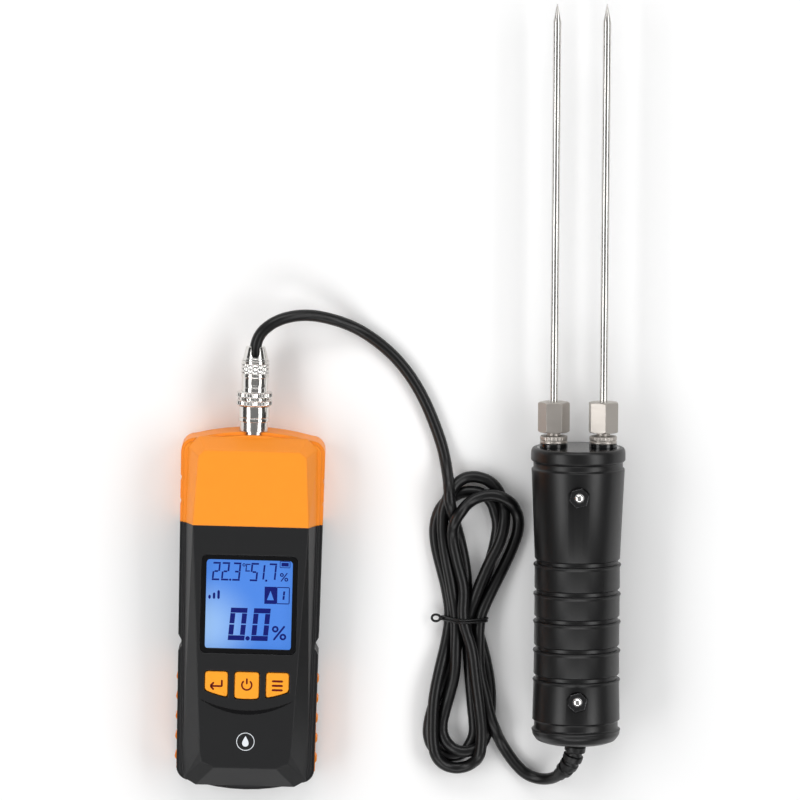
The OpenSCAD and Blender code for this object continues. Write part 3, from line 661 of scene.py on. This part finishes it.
for side, name in ((-11, "left"), (11, "right")):
    lock = lathe("locknut_" + name, finer([
        (3.06, -19.15), (5.7, -19.15), (6.1, -18.9), (6.1, -18.2), (5.8, -18.0), (5.8, -17.7), (6.1, -17.5),
        (6.1, -16.1), (5.7, -15.75), (3.06, -15.75)], 0.25), GRIP_X + side, GRIP_Z, nut_steel, closed=True, segs=180,
        knurl=diamond([(-17.5, -16.1)], 6.08, 30, 0.0, 0.2), angle=50)
    finish_piece(lock, "probe", "nut_steel", "electrode_locknuts")
    thread = lathe("thread_" + name, finer([(2.5, -15.7), (3.0, -15.6), (2.6, -15.3), (3.0, -15.0), (2.6, -14.7),
                                            (3.0, -14.4), (2.5, -14.25)], 0.1), GRIP_X + side, GRIP_Z, nut_steel,
                   segs=64)
    finish_piece(thread, "probe", "nut_steel")

for i, name in enumerate(("upper", "lower")):
    dome = [(2 * math.cos(t), 1.1 * math.sin(t)) for t in [math.pi / 2 * k / 10 for k in range(10)]]
    ball = lathe("stud_end_" + name, dome, 0, 0, stud_steel, segs=48)
    ball.data.transform(at_stud(i) @ Matrix.Translation(mm(0, 0, 4.98)) @ Matrix.Rotation(math.pi / 2, 4, "X"))
    finish_piece(ball, "probe", "screw_steel")

# ---------- boot ----------


def sweep(name, line, radii, mat, segs=48):
    """Round shape along a line in millimetres, with a radius at each point."""
    points, faces = [], []
    side = None
    for i, (q, r) in enumerate(zip(line, radii)):
        d = (line[min(i + 1, len(line) - 1)] - line[max(i - 1, 0)]).normalized()
        side = Vector((0, 0, 1)).cross(d) if side is None else side - d * side.dot(d)
        side.normalize()
        other = d.cross(side)
        points += [q + r * (side * math.cos(t) + other * math.sin(t)) for t in turns(segs)]
    for i in range(len(line) - 1):
        for k in range(segs):
            m = (k + 1) % segs
            faces.append((i * segs + k, i * segs + m, (i + 1) * segs + m, (i + 1) * segs + k))
    faces.append(tuple(range(segs)))
    faces.append(tuple((len(line) - 1) * segs + k for k in range(segs)))
    return mesh(name, points, faces, mat)


boot_route = [(79, -150, 21), (79, -154, 21), (78.5, -158, 20.6), (77.4, -161.6, 19.6), (75.6, -165, 17.6),
              (73.4, -168, 14.6), (72, -169.6, 12.6)]
BOOT_STEP = 0.2
boot_line = smooth_line(boot_route, BOOT_STEP)


def boot_radius(s):
    """Radius at a distance along the boot: a taper with four ribs."""
    r = 3.9 - 0.9 * min(1, s / 24)
    for at, top in ((6.4, 4.7), (10.6, 4.5), (14.8, 4.2), (18.8, 3.9)):
        reach = min(1, max(0, (1.5 - abs(s - at)) / 0.5))
        r += (top - r) * (reach * reach * (3 - 2 * reach))
    return r


boot = sweep("cord_boot", boot_line, [boot_radius(k * BOOT_STEP) for k in range(len(boot_line))], boot_black)
finish_piece(boot, "probe", "cord_black", "strain_relief")

# ---------- keys ----------

KEY_TOP = 32.4
KEY_ARC = 49.4


def inset(line, d):
    """Outline moved inwards by d, for a counter-clockwise outline."""
    out, n = [], len(line)
    for i in range(n):
        a, p, b = Vector(line[i - 1]), Vector(line[i]), Vector(line[(i + 1) % n])
        e0, e1 = (p - a).normalized(), (b - p).normalized()
        n0, n1 = Vector((-e0.y, e0.x)), Vector((-e1.y, e1.x))
        m = (n0 + n1).normalized()
        out.append(tuple(p + m * d / max(0.5, m.dot(n0))))
    return out


def key_line(x, w):
    """Outline of a key w wide: the lower edge follows an arc that the three keys share."""
    across = [x + w * (k / 3 - 0.5) for k in range(4)]
    low = [(q, -133.3 + KEY_ARC - math.sqrt(KEY_ARC**2 - q**2)) for q in across]
    return rounded(low + [(x + w / 2, -121.2), (x - w / 2, -121.2)], 1.5, True, 5)


def stack(name, rings, mat, angle=35):
    """Closed solid through outlines of equal length, each (outline, z)."""
    points, faces, n = [], [], len(rings[0][0])
    for line, z in rings:
        points += [(p[0], p[1], z) for p in line]
    for i in range(len(rings) - 1):
        faces += [(i * n + k, i * n + (k + 1) % n, (i + 1) * n + (k + 1) % n, (i + 1) * n + k) for k in range(n)]
    faces.append(tuple(reversed(range(n))))
    faces.append(tuple((len(rings) - 1) * n + k for k in range(n)))
    return mesh(name, points, faces, mat, angle)


def shifted(line, x=METER_X, y=0.0):
    """Outline moved by x and y, to the meter's middle line unless told otherwise."""
    return [(p[0] + x, p[1] + y) for p in line]


def key_prints(i, x):
    """Strokes of a key's symbol: a return arrow, a power sign or three bars."""
    y = -126.9
    if i == 0:
        ends = (((2.5, 2.2), (2.5, -1.2)), ((2.6, -0.8), (-2.4, -0.8)), ((-2.7, -0.9), (-0.9, 1.0)),
                ((-2.7, -0.7), (-0.9, -2.6)))
        return [stroke((x + a[0], y + a[1]), (x + b[0], y + b[1]), 0.85) for a, b in ends]
    if i == 1:
        return [arc(x, y, 2.2, 0.75, 128, 412), stroke((x, y + 3.1), (x, y + 0.2), 0.8)]
    return [stroke((x - 2.6, y + 2 - 2 * k), (x + 2.6, y + 2 - 2 * k), 0.95) for k in range(3)]


for i, (name, x, w) in enumerate((("enter", -13.6, 10.1), ("power", 0, 10.8), ("set", 13.6, 10.1))):
    line = shifted(key_line(x, w))
    cap = stack("key_" + name + "_cap", [
        (inset(line, -0.85), 27.9), (inset(line, -0.85), 28.7), (line, 28.7), (line, 31.6), (inset(line, 0.06), 31.95),
        (inset(line, 0.22), 32.2), (inset(line, 0.5), 32.36), (inset(line, 0.95), KEY_TOP)], key_orange, 60)
    finish_piece(cap, name + "_key", "key_orange", "key_" + name)
    marks = slab("key_" + name + "_symbol", [shifted(p) for p in key_prints(i, x)], KEY_TOP - 0.05, KEY_TOP + 0.03,
                 key_print)
    finish_piece(marks, name + "_key", "key_orange")

# ---------- front panel ----------


def round_box(half_w, half_l, r, y):
    """Rectangle with round corners on the meter's middle line."""
    return rounded([(METER_X - half_w, y - half_l), (METER_X + half_w, y - half_l), (METER_X + half_w, y + half_l),
                    (METER_X - half_w, y + half_l)], r, True, 8)


def frame_plate(name, outer_line, inner_line, z0, z1, mat):
    """Flat plate with an opening; both outlines have the same number of points."""
    n = len(outer_line)
    points = [(p[0], p[1], z) for z in (z0, z1) for line in (outer_line, inner_line) for p in line]
    faces = []
    for k in range(n):
        m = (k + 1) % n
        faces += [(k, n + k, n + m, m), (2 * n + k, 2 * n + m, 3 * n + m, 3 * n + k), (k, m, 2 * n + m, 2 * n + k),
                  (n + k, 3 * n + k, 3 * n + m, n + m)]
    return mesh(name, points, faces, mat)


# Thin darker ring round the display window: painted shade standing for the shadow in the recess round the window
window_shade_ring = frame_plate("window_border_shade", round_box(21.1, 21.8, 2.3, -91), round_box(19.1, 20.0, 1.8, -91), 31.5, 31.56,
                    trim_black_and_shade)
finish_piece(window_shade_ring, "meter", "gasket_black")
crescent_top = [(x, -133.9 - 4.6 * (1 - (x / 20.5) ** 2)) for x in [-20.5 + 41 * k / 40 for k in range(41)]]
crescent_low = [(x, -134.0 - 6.4 * (1 - (x / 20.5) ** 2)) for x in [20.5 - 41 * k / 40 for k in range(41)]]
crescent = slab("panel_crescent", [shifted(crescent_low[::-1] + crescent_top[::-1])], 31.6, 31.86, trim_black_and_shade)
finish_piece(crescent, "meter", "case_black")

drop = [(2.0 * math.sin(t) * math.sin(t / 2) ** 1.4, 2.4 * math.cos(t)) for t in turns(40)]
badge = slab("drop_mark", [shifted(arc(0, 0, 3.9, 0.3, 0, 359.9, 60), METER_X, -152.5),
                           shifted(drop[::-1], METER_X, -152.3)], 31.66, 31.73, diffuser)
finish_piece(badge, "meter", "case_black")

# ---------- display ----------

SEGMENTS = {"0": "abcdef", "1": "bc", "2": "abged", "3": "abgcd", "5": "afgcd", "7": "abc", "c": "adef"}


def digit(value, x, y, w, h, t, lean=0.08):
    """Seven-segment numeral with its lower left corner at x, y."""
    e, s, m = t / 2, t * 0.12, h / 2
    boxes = {"a": (-e, h - e, w + e, h + e), "d": (-e, -e, w + e, e), "g": (e + s, m - e, w - e - s, m + e),
             "b": (w - e, m + s, w + e, h - e - s), "c": (w - e, e + s, w + e, m - s),
             "f": (-e, m + s, e, h - e - s), "e": (-e, e + s, e, m - s)}
    return [[(x + p[0] + lean * p[1], y + p[1]) for p in box_line(*boxes[name])] for name in SEGMENTS[value]]


def dot(x, y, r):
    """Decimal point."""
    return [[(x + r * math.cos(t), y + r * math.sin(t)) for t in turns(16)]]


def percent(x, y, w, h, t):
    """Percent sign in a box of w by h."""
    rings = [arc(x + w * u, y + h * v, w * 0.17, t, 0, 359.9, 24) for u, v in ((0.22, 0.76), (0.78, 0.24))]
    return rings + [stroke((x + w * 0.1, y), (x + w * 0.9, y + h), t)]


def box_frame(x0, y0, x1, y1, t):
    """Four strokes round a rectangle."""
    corners = box_line(x0, y0, x1, y1)
    return [stroke(a, b, t) for a, b in zip(corners, corners[1:] + corners[:1])]


signs = []
for value, x in (("2", -16.4), ("2", -12.3), ("3", -7.3), ("5", 0.5), ("1", 3.5), ("7", 8.6)):
    signs += digit(value, x, -80.5, 2.5, 7.4, 0.78)
signs += dot(-8.6, -80.5, 0.5) + [arc(-2.6, -73.7, 0.55, 0.36, 0, 359.9, 16)] + digit("c", -1.7, -76.4, 1.5, 3.0, 0.5)
signs += dot(7.4, -80.5, 0.5) + percent(13.5, -80.8, 3.6, 4.0, 0.5)
signs += digit("0", -7.9, -106.5, 5.2, 12.4, 2.2) + dot(-0.25, -106.6, 1.0) + digit("0", 2.4, -106.5, 5.2, 12.4, 2.2)
signs += percent(10.6, -107.2, 6.2, 6.6, 0.85)
signs += [box_line(14.0, -73.9, 17.2, -72.3)] + box_frame(13.4, -74.5, 17.8, -71.7, 0.3)
signs += digit("1", 13.0, -89.4, 2.2, 4.8, 0.85) + box_frame(12.3, -90.7, 17.8, -83.4, 0.4)
signs += [box_line(6.8, -90.9, 12.1, -83.2)]
signs += [stroke((-17.6 + 2 * k, -89.4), (-17.6 + 2 * k, -87.4 + 1.1 * k), 1.1) for k in range(3)]
segments = slab("display_segments", [shifted(p) for p in signs], 27.8, 27.86, ink)
finish_piece(segments, "meter", "lcd_blue")
arrow = slab("display_arrow", [shifted([(7.9, -89.2), (11.0, -89.2), (9.45, -85.0)])], 27.86, 27.9, lcd_lit)
finish_piece(arrow, "meter", "lcd_blue")

# ---------- back of the meter ----------

ribs = slab("door_ribs", [shifted(stroke((-9 + 0.9 * k, -122 - 3 * k), (9 - 0.9 * k, -122 - 3 * k), 1.2))
                          for k in range(5)], 0.08, 0.4, back_black)
finish_piece(ribs, "door", "case_black")

# ---------- finishes of the CAD pieces ----------

finishes = {
    "front_housing": case_black, "rear_housing": back_black, "battery_door": back_black, "top_cap": cap_orange,
    "side_grip_left": grip_orange, "side_grip_right": grip_orange, "display_window": window_clear,
    "window_gasket": holder_grey, "lcd_panel": lcd_lit, "backlight": diffuser, "lcd_frame": holder_grey,
    "zebra_strip": mat_grey, "circuit_board": board_green, "board_parts": part_black, "board_screws": stud_steel,
    "keypad_mat": mat_grey, "batteries": cell_jacket, "battery_contacts": contact_nickel,
    "housing_screws": stud_steel, "cap_screws": stud_steel, "air_sensor": diffuser, "socket_shell": nickel_turned,
    "socket_nut": nickel_turned, "socket_insert": insulator, "socket_leads": wire_red, "plug_insert": insulator,
    "plug_pins": contact_gold, "grip_face": face_black, "electrode_block": insulator, "cord_anchor": insulator,
    "probe_leads": wire_red, "electrode_collars": face_black, "electrode_stems": nut_steel,
    "solder_lugs": contact_gold, "clamp_nut_left": nut_steel, "clamp_nut_right": nut_steel,
    "needle_left": needle_steel, "needle_right": needle_steel, "grip_studs": stud_steel, "grip_nuts": nut_black,
}
for name, finish in finishes.items():
    data = nodes[name].data
    data.materials.clear()
    data.materials.append(finish)

# ---------- floor and light ----------

floor_mat = material("floor", (0.9, 0.9, 0.9), 0.7, vary=0.004, size=60)
floor = slab("floor", [box_line(-4000, -4000, 4000, 4000)], -4, 0, floor_mat)

world = bpy.data.worlds.new("studio")
bpy.context.scene.world = world
world.use_nodes = True
wn, wl = world.node_tree.nodes, world.node_tree.links.new
sky = wn.new("ShaderNodeTexCoord")
parts = wn.new("ShaderNodeSeparateXYZ")
wl(sky.outputs["Generated"], parts.inputs["Vector"])
ramp = wn.new("ShaderNodeValToRGB")
ramp.color_ramp.elements[0].position, ramp.color_ramp.elements[0].color = 0.1, (0.05, 0.05, 0.05, 1)
ramp.color_ramp.elements[1].position, ramp.color_ramp.elements[1].color = 0.95, (0.22, 0.22, 0.22, 1)
stop = ramp.color_ramp.elements.new(0.6)
stop.color = (0.12, 0.12, 0.12, 1)
wl(parts.outputs["Z"], ramp.inputs["Fac"])
wl(ramp.outputs["Color"], wn["Background"].inputs["Color"])


def soft_light(name, place, width, height, power):
    """Rectangular light that faces the middle of the layout."""
    data = bpy.data.lights.new(name, "AREA")
    data.shape, data.size, data.size_y, data.energy = "RECTANGLE", width, height, power
    obj = bpy.data.objects.new(name, data)
    bpy.context.scene.collection.objects.link(obj)
    obj.location = place
    obj.rotation_mode = "QUATERNION"
    obj.rotation_quaternion = (-Vector(place)).to_track_quat("-Z", "Y")


soft_light("left_light", (-1.05, -0.1, 1.1), 1.7, 0.55, 12)
soft_light("right_light", (1.05, 0.1, 1.1), 1.7, 0.55, 12)
soft_light("far_light", (0.0, 1.5, 1.0), 1.6, 0.6, 13)
soft_light("near_light", (0.0, -1.4, 1.1), 1.6, 0.6, 10)
bpy.context.scene.view_settings.view_transform = "Standard"
